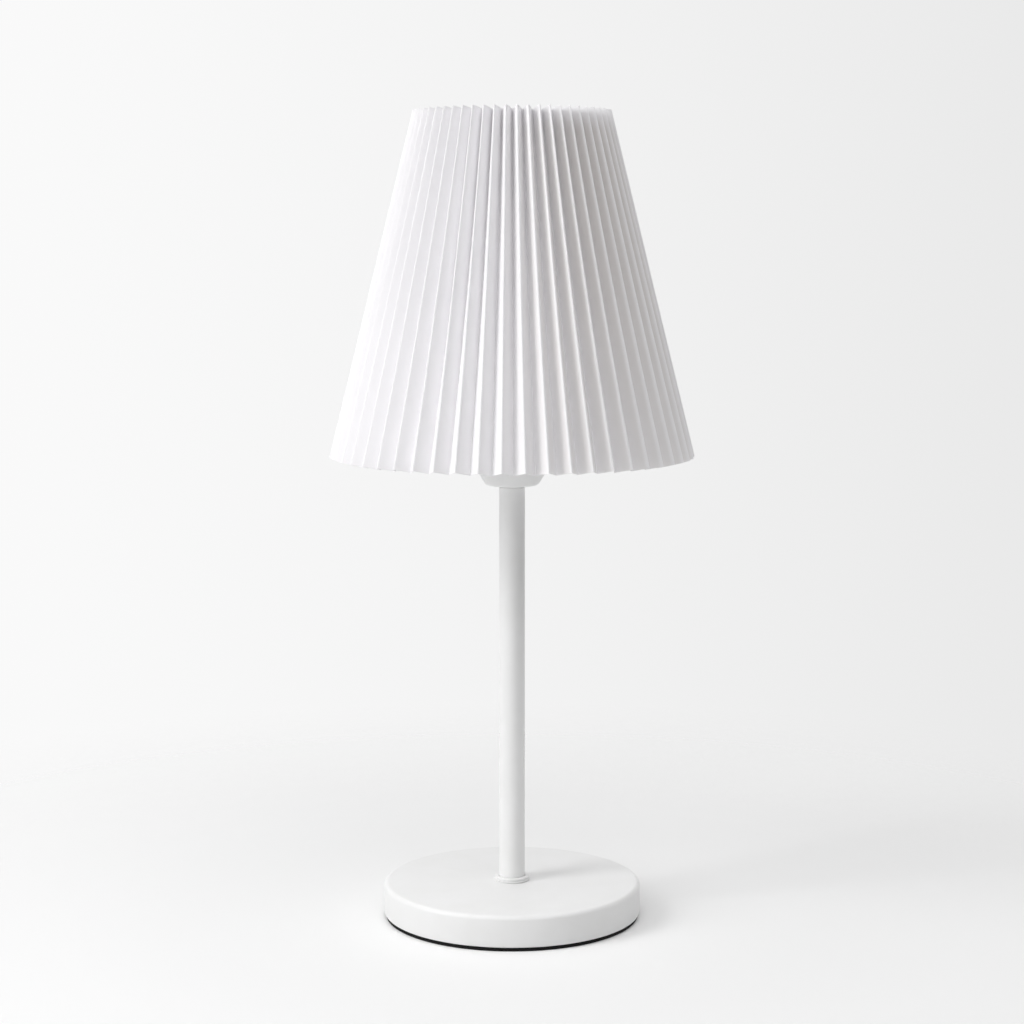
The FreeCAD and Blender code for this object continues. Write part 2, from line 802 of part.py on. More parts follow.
def draw_stadium(sketch, wide, deep):
    """Straight-sided opening with half-round ends, centred on the charging socket."""
    half = f"(({wide}) - ({deep})) / 2"
    radius = f"(({deep}) / 2)"
    low = f"usb_offset - {radius}"
    high = f"usb_offset + {radius}"
    middle = value("usb_offset")
    reach = (value("usb_width") - value("usb_depth")) / 2
    up = value("usb_depth") / 2
    quarter = math.pi / 2
    corners = [
        FreeCAD.Vector(-reach, middle - up, 0),
        FreeCAD.Vector(reach, middle - up, 0),
        FreeCAD.Vector(reach, middle + up, 0),
        FreeCAD.Vector(-reach, middle + up, 0),
    ]
    right_end, left_end = (
        Part.ArcOfCircle(
            Part.Circle(FreeCAD.Vector(side * reach, middle, 0), FreeCAD.Vector(0, 0, 1), up),
            start, start + 2 * quarter)
        for side, start in ((1, -quarter), (-1, quarter))
    )
    front = sketch.addGeometry(Part.LineSegment(corners[0], corners[1]))
    right = sketch.addGeometry(right_end)
    back = sketch.addGeometry(Part.LineSegment(corners[2], corners[3]))
    left = sketch.addGeometry(left_end)
    for one, one_end, other, other_end in (
        (front, 2, right, 1), (right, 2, back, 1), (back, 2, left, 1), (left, 2, front, 1),
    ):
        sketch.addConstraint(Sketcher.Constraint("Coincident", one, one_end, other, other_end))
    fix_point(sketch, front, 1, f"-{half}", low)
    fix_point(sketch, front, 2, half, low)
    fix_point(sketch, back, 1, half, high)
    fix_point(sketch, back, 2, f"-{half}", high)
    for arc, side, across in ((right, reach, half), (left, -reach, f"-{half}")):
        index = sketch.addConstraint(Sketcher.Constraint("DistanceX", arc, 3, side))
        sketch.setExpression(f"Constraints[{index}]", linked(across))


# Cap, long screws, switch and button

def make_cap():
    cap = revolve("head_cap_body", [
        ("cap_inner", "cap_spigot_bottom"),
        ("spigot_radius", "cap_spigot_bottom"),
        ("spigot_radius", "diffuser_top"),
        ("diffuser_radius", "diffuser_top"),
        ("diffuser_radius", "cap_height"),
        ("0", "cap_height"),
        ("0", "cap_ceiling"),
        ("cap_inner", "cap_ceiling"),
    ])
    fillet_rings(cap, "cap_top_round", [("diffuser_radius", "cap_height")])
    posts = new_sketch(cap, "XY_Plane", "board_top")
    draw_tie_circles(posts, "standoff_radius")
    pad(cap, posts, "cap_headroom")
    screw_holes = new_sketch(cap, "XY_Plane", "cap_height")
    draw_tie_circles(screw_holes, "tie_radius + tie_hole_gap")
    pocket(cap, screw_holes, "cap_height - board_top")
    heads = new_sketch(cap, "XY_Plane", "cap_height")
    draw_tie_circles(heads, "tie_head_radius + tie_hole_gap")
    pocket(cap, heads, "tie_head_height")
    top_holes = new_sketch(cap, "XY_Plane", "cap_height")
    draw_circle(top_holes, "button_radius + button_gap")
    draw_circle(top_holes, "pipe_radius + pipe_gap", "0", "-indicator_offset")
    pocket(cap, top_holes, "cap_top")
    socket_hole = new_sketch(cap, "XY_Plane", "cap_height")
    draw_stadium(socket_hole, "usb_width + 2 * usb_gap", "usb_depth + 2 * usb_gap")
    pocket(cap, socket_hole, "cap_top")
    keep("head_cap", cap)

    screws = []
    for number, sign in enumerate(("", "-"), start=1):
        shank = rod(f"tie_shank_{number}", "tie_radius", "tie_length", "tie_bottom",
                    sign + "tie_offset", sign + "tie_offset")
        head = rod(f"tie_head_{number}", "tie_head_radius", "tie_head_height",
                   "cap_height - tie_head_height",
                   sign + "tie_offset", sign + "tie_offset")
        whole = doc.addObject("Part::Fuse", f"tie_screw_{number}")
        whole.Base = shank
        whole.Tool = head
        key = key_hole(f"tie_key_{number}", "tie_key_radius", "tie_key_depth",
                       "cap_height - tie_key_depth",
                       sign + "tie_offset", sign + "tie_offset")
        screws.append(cut_from(f"tie_cut_{number}", whole, key))
    keep("long_screws", gather("tie_screws", screws))


def make_button():
    switch = new_body("switch_body_body")
    block = new_sketch(switch, "XY_Plane", "board_top")
    half = "switch_width / 2"
    draw_rectangle(block, "-" + half, half, "-" + half, half)
    pad(switch, block, "switch_height")
    well = new_sketch(switch, "XY_Plane", "switch_top")
    draw_circle(well, "plunger_radius + plunger_gap")
    pocket(switch, well, "plunger_depth + 2 * button_travel")
    keep("switch_body", switch)

    keep("switch_plunger", rod("plunger", "plunger_radius",
                               "flange_bottom - switch_top + plunger_depth",
                               "switch_top - plunger_depth"))

    button = revolve("power_button_body", [
        ("0", "flange_bottom"),
        ("button_radius + button_flange_width", "flange_bottom"),
        ("button_radius + button_flange_width", "cap_ceiling"),
        ("button_radius", "cap_ceiling"),
        ("button_radius", "cap_height + button_rise"),
        ("0", "cap_height + button_rise"),
    ])
    doc.recompute()
    top = value("cap_height") + value("button_rise")
    rim = ring_edges(button.Tip.Shape, value("button_radius"), top)
    fillet_edges(button, button.Tip, rim, "button_round")
    keep("power_button", button)


# Shade

def polar(radius, angle, height):
    return FreeCAD.Vector(radius * math.cos(angle), radius * math.sin(angle), height)


def fold_points(outer_bottom, inner_bottom, outer_top, inner_top):
    """Bottom and top ends of every fold, valley first, from the front round the axis.

    Each argument is a radius and height pair for the outer or the inner folds.
    """
    count = round(value("pleat_count"))
    half_turn = math.pi / count
    front = -math.pi / 2
    lows = []
    highs = []
    for fold in range(2 * count):
        angle = front + fold * half_turn
        low, high = (outer_bottom, outer_top) if fold % 2 else (inner_bottom, inner_top)
        lows.append(polar(low[0], angle, low[1]))
        highs.append(polar(high[0], angle, high[1]))
    return lows, highs


def ruled(first_start, first_end, second_start, second_end):
    """Straight-sided face between two edges, twisted where they are not in one plane."""
    return Part.makeRuledSurface(
        Part.makeLine(first_start, first_end),
        Part.makeLine(second_start, second_end),
    )


def make_skin():
    """Zigzag sheet: every face keeps its width from rim to rim, so the pleats deepen
    towards the narrow top, and both rims are cut square to the folds."""
    low = value("shade_bottom")
    high = value("shade_top")
    low_valley = value("bottom_valley_height")
    high_valley = value("top_valley_height")
    stretch = value("skin_thickness") * value("pleat_face_width")
    half_turn = math.radians(value("half_angle"))
    low_ridge_shift = stretch / (value("bottom_valley") * math.sin(half_turn))
    high_ridge_shift = stretch / (value("top_valley") * math.sin(half_turn))

    outer_low, outer_high = fold_points(
        (value("shade_bottom_radius"), low),
        (value("bottom_valley"), low_valley),
        (value("shade_top_radius"), high),
        (value("top_valley"), high_valley),
    )
    inner_low, inner_high = fold_points(
        (value("shade_bottom_radius") - low_ridge_shift, low),
        (value("bottom_valley_inner"), low_valley),
        (value("shade_top_radius") - high_ridge_shift, high),
        (value("top_valley_inner"), high_valley),
    )
    faces = []
    total = len(outer_low)
    for fold in range(total):
        after = (fold + 1) % total
        faces.append(ruled(outer_low[fold], outer_low[after], outer_high[fold], outer_high[after]))
        faces.append(ruled(inner_low[fold], inner_low[after], inner_high[fold], inner_high[after]))
        faces.append(ruled(outer_low[fold], outer_low[after], inner_low[fold], inner_low[after]))
        faces.append(ruled(outer_high[fold], outer_high[after], inner_high[fold], inner_high[after]))
    shell = Part.makeShell(faces)
    shell.sewShape()
    solid = Part.makeSolid(shell)
    if solid.Volume < 0:
        solid.reverse()
    skin = doc.addObject("Part::Feature", "skin")
    skin.Shape = solid
    keep("pleated_skin", skin)


def make_shade_frame():
    centre = revolve("centre_ring_body", [
        ("centre_ring_inner", "rim_height"),
        ("centre_ring_outer", "rim_height"),
        ("centre_ring_outer", "centre_ring_top"),
        ("centre_ring_inner", "centre_ring_top"),
    ])
    keep("centre_ring", centre)
    bottom_ring = doc.addObject("Part::Torus", "bottom_wire")
    bind(bottom_ring, Radius1="bottom_ring_radius", Radius2="bottom_wire_radius", z="arm_height")
    keep("bottom_ring", bottom_ring)
    top_ring = doc.addObject("Part::Torus", "top_wire")
    bind(top_ring, Radius1="top_ring_radius", Radius2="top_wire_radius", z="top_ring_height")
    keep("top_ring", top_ring)

    count = round(value("arm_count"))
    start = "(centre_ring_inner + centre_ring_width / 2)"
    for number in range(count):
        angle = 90 + 360 * number / count
        bar = rod(f"arm_bar_{number + 1}", "arm_radius", f"bottom_ring_radius - {start}",
                  "arm_height", f"{start} * cos({angle} deg)", f"{start} * sin({angle} deg)")
        lay_down = FreeCAD.Rotation(FreeCAD.Vector(0, 1, 0), 90)
        swing = FreeCAD.Rotation(FreeCAD.Vector(0, 0, 1), angle)
        bar.Placement.Rotation = swing.multiply(lay_down)
        trimmed = cut_from(f"arm_trim_{number + 1}", bar, bottom_ring)
        keep(f"shade_arm_{number + 1}", cut_from(f"arm_cut_{number + 1}", trimmed, centre))


def check_and_write():
    doc.recompute()
    for item in doc.Objects:
        bad = [word for word in ("Invalid", "Error") if word in item.State]
        if bad:
            raise RuntimeError(f"{item.Label} is {', '.join(bad)}")
    for label, item in subparts.items():
        shape = item.Shape
        if shape.isNull() or not shape.isValid() or not shape.Solids:
            raise RuntimeError(f"{label} has no valid solid")
    os.makedirs("parts", exist_ok=True)
    for label, item in subparts.items():
        item.Shape.exportStep(f"parts/{label}.step")
    print(f"{len(subparts)} sub-parts written")


fill_sheets()
make_base()
make_stem()
make_cup()
make_frame()
make_cell()
make_lights()
make_carrier()
make_board()
make_usb()
make_cap()
make_button()
make_skin()
make_shade_frame()
check_and_write()
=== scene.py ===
import bmesh
import bpy
import json
import math
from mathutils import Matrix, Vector


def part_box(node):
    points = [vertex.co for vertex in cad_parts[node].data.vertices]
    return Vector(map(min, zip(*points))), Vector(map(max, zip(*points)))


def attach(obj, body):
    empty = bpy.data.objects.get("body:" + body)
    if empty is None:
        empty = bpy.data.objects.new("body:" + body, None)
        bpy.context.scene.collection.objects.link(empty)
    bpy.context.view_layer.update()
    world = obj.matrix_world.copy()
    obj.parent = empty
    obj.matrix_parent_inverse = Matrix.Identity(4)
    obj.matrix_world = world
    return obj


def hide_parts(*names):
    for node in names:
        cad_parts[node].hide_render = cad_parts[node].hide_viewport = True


# Cordless table lamp: pleated paper shade, lantern head, slim stem, weighted base
# Metres, +Z up, front towards -Y

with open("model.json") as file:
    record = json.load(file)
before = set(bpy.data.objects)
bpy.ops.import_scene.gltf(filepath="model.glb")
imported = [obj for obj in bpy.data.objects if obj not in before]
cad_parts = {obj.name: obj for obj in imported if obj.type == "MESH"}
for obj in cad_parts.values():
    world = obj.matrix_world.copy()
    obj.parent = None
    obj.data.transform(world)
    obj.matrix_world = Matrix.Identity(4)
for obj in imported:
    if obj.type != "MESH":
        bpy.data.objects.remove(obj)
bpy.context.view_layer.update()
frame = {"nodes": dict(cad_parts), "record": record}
mm = 0.001
print("frame loaded")


# Camera, a little above the head and tipped down
cameraSet = {
    "lens": 80.25, "sensor": 36,  # millimetres
    "place": (0, -1.0469, 0.3145),
    "pitchDown": 6.76,  # degrees
}


def newObject(name, content):
    added = bpy.data.objects.new(name, content)
    bpy.context.scene.collection.objects.link(added)
    return added


def makeCamera(look):
    lensData = bpy.data.cameras.new("camera")
    lensData.lens = look["lens"]
    lensData.sensor_width = look["sensor"]
    camera = newObject("camera", lensData)
    camera.location = look["place"]
    camera.rotation_euler = (math.radians(90 - look["pitchDown"]), 0, 0)
    bpy.context.scene.camera = camera


# Node helpers: each value is a plain setting or the socket that feeds it
# An input is named with its spaces as underlines, or by its number, such as _3

def put(tree, kind, settings=None, **inputs):
    step = tree.nodes.new(kind)
    for key, setting in (settings or {}).items():
        setattr(step, key, setting)
    for key, given in inputs.items():
        feed(tree, step, key, given)
    return step


def feed(tree, step, key, given):
    socket = step.inputs[int(key[1:])] if key[0] == "_" else step.inputs[key.replace("_", " ")]
    if isinstance(given, bpy.types.NodeSocket):
        tree.links.new(given, socket)
    else:
        socket.default_value = given


def calc(tree, operation, *values, kind="ShaderNodeMath"):
    step = put(tree, kind, {"operation": operation})
    for place, given in enumerate(values):
        feed(tree, step, f"_{place}", given)
    return step.outputs[0]


def vectorCalc(tree, operation, *values):
    return calc(tree, operation, *values, kind="ShaderNodeVectorMath")


def ramp(tree, value, span, ends=(0.0, 1.0), soft=True):
    # Goes from one end to the other while the value crosses the span
    course = "SMOOTHSTEP" if soft else "LINEAR"
    step = put(tree, "ShaderNodeMapRange", {"interpolation_type": course},
               _0=value, _1=span[0], _2=span[1], _3=ends[0], _4=ends[1])
    return step.outputs[0]


def mixValue(tree, share, low, high):
    return put(tree, "ShaderNodeMix", _0=share, _2=low, _3=high).outputs[0]


def mixColour(tree, share, low, high):
    return put(tree, "ShaderNodeMix", {"data_type": "RGBA"}, _0=share, _6=low, _7=high).outputs[2]


def rgba(colour):
    return (*colour, 1.0)


def openSockets(group, inputs, outputs):
    for side, sockets in (("INPUT", inputs), ("OUTPUT", outputs)):
        for name, kind in sockets.items():
            group.interface.new_socket(name, in_out=side, socket_type=kind)


# Shared shader group: grain of a surface at two scales, in object space
grainSet = {
    "coarseDetail": 3.0, "coarseRoughness": 0.55,
    "fineDetail": 2.0, "fineRoughness": 0.6,
    "span": (0.3, 0.7),
}


def makeGrainGroup(look):
    group = bpy.data.node_groups.new("surfaceGrain", "ShaderNodeTree")
    inputs = {
        "Vector": "NodeSocketVector",
        "Coarse Scale": "NodeSocketFloat",
        "Fine Scale": "NodeSocketFloat",
        "Stretch": "NodeSocketVector",
        "Fine Share": "NodeSocketFloat",
    }
    openSockets(group, inputs, {"Tone": "NodeSocketFloat", "Height": "NodeSocketFloat"})
    start = group.nodes.new("NodeGroupInput").outputs
    end = group.nodes.new("NodeGroupOutput")
    place = vectorCalc(group, "MULTIPLY", start["Vector"], start["Stretch"])
    coarse = put(group, "ShaderNodeTexNoise", Vector=place, Scale=start["Coarse Scale"],
                 Detail=look["coarseDetail"], Roughness=look["coarseRoughness"]).outputs["Fac"]
    fine = put(group, "ShaderNodeTexNoise", Vector=place, Scale=start["Fine Scale"],
               Detail=look["fineDetail"], Roughness=look["fineRoughness"]).outputs["Fac"]
    feed(group, end, "Tone", coarse)
    feed(group, end, "Height", mixValue(group, start["Fine Share"], coarse, fine))
    return group


grainGroup = makeGrainGroup(grainSet)


def newMaterial(name):
    material = bpy.data.materials.new(name)
    material.use_nodes = True
    tree = material.node_tree
    tree.nodes.clear()
    end = tree.nodes.new("ShaderNodeOutputMaterial")
    shader = tree.nodes.new("ShaderNodeBsdfPrincipled")
    tree.links.new(shader.outputs[0], end.inputs["Surface"])
    return material, tree, shader


# Finishes: colour pair, roughness pair, grain scales in cycles per metre, bump in metres
# A finish that leaves a value out takes it from plainFinish
plainFinish = {
    "metallic": 0, "specular": 0.5, "coat": 0, "coatRoughness": 0.2, "stretch": (1, 1, 1),
}
finishes = {
    "whitePaint": {
        "colours": ((0.9, 0.9, 0.895), (0.93, 0.93, 0.93)),
        "roughness": (0.38, 0.48),
        "coarse": 45, "fine": 1400, "fineShare": 0.75,
        "bump": 0.000012, "specular": 0.38, "coat": 0.08, "coatRoughness": 0.35,
    },
    "blackFoam": {
        "colours": ((0.003, 0.003, 0.003), (0.014, 0.014, 0.014)),
        "roughness": (0.8, 0.95), "specular": 0.2,
        "coarse": 700, "fine": 2600, "fineShare": 0.6, "bump": 0.00012,
    },
    "castIron": {
        "colours": ((0.06, 0.06, 0.065), (0.16, 0.155, 0.15)),
        "roughness": (0.55, 0.8), "metallic": 0.7,
        "coarse": 150, "fine": 1200, "fineShare": 0.5, "bump": 0.00008,
    },
    "zincSteel": {
        "colours": ((0.55, 0.57, 0.6), (0.72, 0.72, 0.7)),
        "roughness": (0.25, 0.42), "metallic": 1.0,
        "coarse": 400, "fine": 3000, "fineShare": 0.4, "bump": 0.000006,
    },
    "plugBrass": {
        "colours": ((0.66, 0.48, 0.2), (0.8, 0.62, 0.3)),
        "roughness": (0.25, 0.4), "metallic": 1.0,
        "coarse": 300, "fine": 2500, "fineShare": 0.4, "bump": 0.000006,
    },
    "whitePlastic": {
        "colours": ((0.8, 0.8, 0.79), (0.86, 0.86, 0.85)),
        "roughness": (0.42, 0.55),
        "coarse": 90, "fine": 2200, "fineShare": 0.8, "bump": 0.00002,
    },
    "greyPlastic": {
        "colours": ((0.5, 0.5, 0.51), (0.56, 0.56, 0.57)),
        "roughness": (0.4, 0.55),
        "coarse": 120, "fine": 2600, "fineShare": 0.8, "bump": 0.00002,
    },
    "cellWrap": {
        "colours": ((0.02, 0.2, 0.42), (0.03, 0.25, 0.5)),
        "roughness": (0.25, 0.4),
        "coarse": 60, "fine": 900, "fineShare": 0.3, "bump": 0.00003, "coat": 0.3,
    },
    "greyFoam": {
        "colours": ((0.14, 0.14, 0.15), (0.24, 0.24, 0.25)),
        "roughness": (0.85, 0.95),
        "coarse": 900, "fine": 3000, "fineShare": 0.6, "bump": 0.0001,
    },
    "coreAluminium": {
        "colours": ((0.7, 0.7, 0.71), (0.82, 0.82, 0.82)),
        "roughness": (0.28, 0.45), "metallic": 1.0, "stretch": (1, 1, 0.03),
        "coarse": 300, "fine": 3000, "fineShare": 0.5, "bump": 0.00001,
    },
    "stripWhite": {
        "colours": ((0.86, 0.86, 0.85), (0.9, 0.9, 0.9)),
        "roughness": (0.3, 0.42),
        "coarse": 100, "fine": 1500, "fineShare": 0.5, "bump": 0.00001,
    },
    "lightChip": {
        "colours": ((0.85, 0.65, 0.2), (0.92, 0.75, 0.3)),
        "roughness": (0.3, 0.4),
        "coarse": 500, "fine": 3000, "fineShare": 0.5, "bump": 0.00001,
    },
    "opalPlastic": {
        "colours": ((0.86, 0.86, 0.85), (0.9, 0.9, 0.89)),
        "roughness": (0.35, 0.5),
        "coarse": 60, "fine": 1800, "fineShare": 0.6, "bump": 0.00001,
        "subsurface": 0.5, "subsurfaceScale": 0.003, "subsurfaceRadius": (1.0, 0.97, 0.94),
    },
    "boardGreen": {
        "colours": ((0.01, 0.12, 0.05), (0.02, 0.18, 0.08)),
        "roughness": (0.25, 0.4),
        "coarse": 200, "fine": 1500, "fineShare": 0.5, "bump": 0.00002, "coat": 0.4,
    },
    "socketSteel": {
        "colours": ((0.62, 0.62, 0.64), (0.75, 0.75, 0.77)),
        "roughness": (0.15, 0.3), "metallic": 1.0,
        "coarse": 500, "fine": 3000, "fineShare": 0.5, "bump": 0.000004,
    },
    "blackPlastic": {
        "colours": ((0.015, 0.015, 0.016), (0.03, 0.03, 0.03)),
        "roughness": (0.5, 0.65),
        "coarse": 300, "fine": 3000, "fineShare": 0.7, "bump": 0.00002,
    },
    "connectorWhite": {
        "colours": ((0.72, 0.71, 0.66), (0.8, 0.79, 0.75)),
        "roughness": (0.4, 0.5),
        "coarse": 200, "fine": 2500, "fineShare": 0.6, "bump": 0.00001,
    },
    "redLead": {
        "colours": ((0.5, 0.015, 0.015), (0.6, 0.03, 0.03)),
        "roughness": (0.4, 0.5),
        "coarse": 300, "fine": 2500, "fineShare": 0.5, "bump": 0.00001,
    },
    "blackLead": {
        "colours": ((0.01, 0.01, 0.01), (0.02, 0.02, 0.02)),
        "roughness": (0.4, 0.5),
        "coarse": 300, "fine": 2500, "fineShare": 0.5, "bump": 0.00001,
    },
    "clearPlastic": {
        "colours": ((0.8, 0.82, 0.82), (0.85, 0.87, 0.87)),
        "roughness": (0.1, 0.2),
        "coarse": 300, "fine": 1500, "fineShare": 0.5, "bump": 0.000004,
    },
    "whiteWire": {
        "colours": ((0.83, 0.83, 0.82), (0.87, 0.87, 0.86)),
        "roughness": (0.35, 0.5),
        "coarse": 300, "fine": 1800, "fineShare": 0.7, "bump": 0.00001,
    },
    "shadePaper": {
        "colours": ((0.922, 0.913, 0.929), (0.942, 0.933, 0.949)),
        # Painted shade: the second colour pair and the masks below darken the creases on the side
        # away from the key lamp
        "paintedShadeColours": ((0.765, 0.74, 0.73), (0.785, 0.76, 0.75)),
        "depthMask": (0.02, 0.3), "depthFade": (0.35, 1.0), "fadeShare": 0.75,
        "sideMask": (-0.015, 0.035), "heightMask": (0.06, 0.36), "rimFade": (0.362, 0.3735),
        "roughness": (0.6, 0.75), "specular": 0.3, "stretch": (1, 1, 0.35),
        "coarse": 120, "fine": 1600, "fineShare": 0.7, "bump": 0.000008,
    },
}


def paintedFoldShade(tree, look, place, tone, outer):
    # Painted shade: a darker, warmer colour between the creases of the side away from the key lamp,
    # where the folds fall in shade
    # It grows with height and fades out at the top rim
    low, high = look["paintedShadeColours"]
    deep = mixColour(tree, tone, rgba(low), rgba(high))
    foldDepth = put(tree, "ShaderNodeAttribute", {"attribute_name": "foldDepth"}).outputs["Fac"]
    axes = put(tree, "ShaderNodeSeparateXYZ", _0=place).outputs
    share = 1.0
    for value, span, ends in ((foldDepth, look["depthMask"], (0.0, 1.0)),
                              (foldDepth, look["depthFade"], (1.0, 1.0 - look["fadeShare"])),
                              (axes["X"], look["sideMask"], (0.0, 1.0)),
                              (axes["Z"], look["heightMask"], (0.0, 1.0)),
                              (axes["Z"], look["rimFade"], (1.0, 0.0))):
        share = calc(tree, "MULTIPLY", ramp(tree, value, span, ends), share)
    return mixColour(tree, share, outer, deep)


def makeFinish(name, given):
    look = {**plainFinish, **given}
    material, tree, shader = newMaterial(name)
    place = put(tree, "ShaderNodeTexCoord").outputs["Object"]
    grain = put(tree, "ShaderNodeGroup", {"node_tree": grainGroup}, Vector=place,
                Coarse_Scale=look["coarse"], Fine_Scale=look["fine"],
                Fine_Share=look["fineShare"], Stretch=look["stretch"]).outputs
    tone = ramp(tree, grain["Tone"], grainSet["span"], soft=False)
    low, high = look["colours"]
    colour = mixColour(tree, tone, rgba(low), rgba(high))
    # Painted shade in the creases, for the finish that carries it
    if "paintedShadeColours" in look:
        colour = paintedFoldShade(tree, look, place, tone, colour)
    gloss = ramp(tree, grain["Height"], grainSet["span"], look["roughness"], soft=False)
    bump = put(tree, "ShaderNodeBump", Height=grain["Height"], Distance=look["bump"], Strength=1.0)
    feed(tree, shader, "Base_Color", colour)
    feed(tree, shader, "Roughness", gloss)
    feed(tree, shader, "Normal", bump.outputs[0])
    feed(tree, shader, "Metallic", look["metallic"])
    feed(tree, shader, "Specular_IOR_Level", look["specular"])
    feed(tree, shader, "Coat_Weight", look["coat"])
    feed(tree, shader, "Coat_Roughness", look["coatRoughness"])
    if "subsurface" in look:
        feed(tree, shader, "Subsurface_Weight", look["subsurface"])
        feed(tree, shader, "Subsurface_Scale", look["subsurfaceScale"])
        feed(tree, shader, "Subsurface_Radius", look["subsurfaceRadius"])
    return material


materials = {name: makeFinish(name, look) for name, look in finishes.items()}
print("finishes made:", len(materials))

# Which finish each slot of the record takes
slotFinish = {
    "white_paint": "whitePaint",
    "black_foam_rubber": "blackFoam",
    "iron": "castIron",
    "zinc_steel": "zincSteel",
    "plug_brass": "plugBrass",
    "white_plastic": "whitePlastic",
    "button_plastic": "greyPlastic",
    "cell_wrap": "cellWrap",
    "grey_foam": "greyFoam",
    "core_aluminium": "coreAluminium",
    "strip_white": "stripWhite",
    "light_chip": "lightChip",
    "opal_plastic": "opalPlastic",
    "board_green": "boardGreen",
    "socket_steel": "socketSteel",
    "black_plastic": "blackPlastic",
    "connector_white": "connectorWhite",
    "red_insulation": "redLead",
    "black_insulation": "blackLead",
    "clear_plastic": "clearPlastic",
    "shade_paper": "shadePaper",
    "white_wire": "whiteWire",
}


def finishOf(slotName):
    return materials[slotFinish[slotName]]


def dressNodes():
    for row in frame["record"]["subparts"]:
        slots = frame["nodes"][row["node"]].data.materials
        slots.clear()
        slots.append(finishOf(row["material_slot"]))


# Turned pieces: outline of radius, height and corner rounding, spun about the stem
turnSet = {
    "arcSteps": 6,
    "axisReach": 1e-7,  # a ring nearer the axis than this is one point
    "sharpAngle": 32,
}


def roundCorners(outline, steps):
    # The outline with each rounded corner drawn as a short arc
    points = []
    for spot, (radius, height, rounding) in enumerate(outline):
        here = Vector((radius, height))
        if not rounding:
            points.append(here)
            continue
        before = (Vector(outline[spot - 1][:2]) - here).normalized()
        after = (Vector(outline[(spot + 1) % len(outline)][:2]) - here).normalized()
        half = before.angle(after) / 2
        reach = rounding / math.tan(half)
        centre = here + (before + after).normalized() * (rounding / math.sin(half))
        arm = here + before * reach - centre
        sweep = arm.angle_signed(here + after * reach - centre)
        for step in range(steps + 1):
            turn = -sweep * step / steps
            points.append(centre + Vector((
                arm.x * math.cos(turn) - arm.y * math.sin(turn),
                arm.x * math.sin(turn) + arm.y * math.cos(turn),
            )))
    return points


def turnPiece(name, outline, around, arcSteps=turnSet["arcSteps"]):
    # Closed ring or disc turned from an outline that runs counter-clockwise, axis on the left
    shape = bmesh.new()
    rings = []
    for point in roundCorners(outline, arcSteps):
        if point.x < turnSet["axisReach"]:
            rings.append([shape.verts.new((0, 0, point.y))])
            continue
        angles = [2 * math.pi * step / around for step in range(around)]
        rings.append([
            shape.verts.new((point.x * math.cos(angle), point.x * math.sin(angle), point.y))
            for angle in angles
        ])
    for ring, nextRing in zip(rings, rings[1:] + rings[:1]):
        for step in range(around):
            after = (step + 1) % around
            corners = [ring[step % len(ring)], ring[after % len(ring)],
                       nextRing[after % len(nextRing)], nextRing[step % len(nextRing)]]
            corners = list(dict.fromkeys(corners))
            if len(corners) > 2:
                shape.faces.new(corners)
    bmesh.ops.recalc_face_normals(shape, faces=shape.faces)
    mesh = bpy.data.meshes.new(name)
    shape.to_mesh(mesh)
    shape.free()
    return addPiece(name, mesh, turnSet["sharpAngle"])


def addPiece(name, mesh, sharpAngle):
    piece = newObject(name, mesh)
    mesh.shade_smooth()
    mesh.set_sharp_from_angle(angle=math.radians(sharpAngle))
    return piece


def finishPiece(piece, slotName, body, node):
    piece.data.materials.clear()
    piece.data.materials.append(finishOf(slotName))
    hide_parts(node)
    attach(piece, body)


# Base: pressed cover with a rolled top edge, on a black foam pad
baseSet = {
    "edgeRound": 2.2 * mm, "footRound": 0.7 * mm, "wall": 1.2 * mm, "padRound": 0.3 * mm,
    "around": 256, "arcSteps": 8, "padAround": 192,
}


def makeBase(look):
    low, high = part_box("base_shell")
    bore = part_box("stem_tube")[1].x - look["wall"]
    cover = turnPiece("baseCover", [
        (bore, high.z, 0),
        (bore, high.z - look["wall"], 0),
        (high.x - look["wall"], high.z - look["wall"], 0),
        (high.x - look["wall"], low.z, 0),
        (high.x, low.z, look["footRound"]),
        (high.x, high.z, look["edgeRound"]),
    ], look["around"], look["arcSteps"])
    finishPiece(cover, "white_paint", "stand", "base_shell")
    low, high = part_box("base_pad")
    pad = turnPiece("basePad", [
        (0, low.z, 0),
        (high.x, low.z, look["padRound"]),
        (high.x, high.z, look["padRound"]),
        (0, high.z, 0),
    ], look["padAround"])
    finishPiece(pad, "black_foam_rubber", "stand", "base_pad")


# Stem, trim collar and flared cup
stemSet = {
    "wall": 1.0 * mm, "neckDepth": 0.5 * mm, "neckHeight": 0.5 * mm,
    "collarSplit": 0.5, "collarStep": 0.35 * mm, "collarGroove": 0.3 * mm,
    "collarFoot": 0.5 * mm, "collarFootRise": 0.25 * mm, "grooveRound": 0.1 * mm,
    "collarRound": 0.3 * mm, "collarGap": 0.2 * mm,
    "cupCorner": (12.1 * mm, 0.75 * mm), "cupRound": 3.4 * mm,
    "cupWall": 1.5 * mm, "cupFloor": 1.8 * mm, "cupInner": 10.6 * mm,
    "cupBore": 3.3 * mm, "lipRound": 0.3 * mm,
    "around": 128,
}


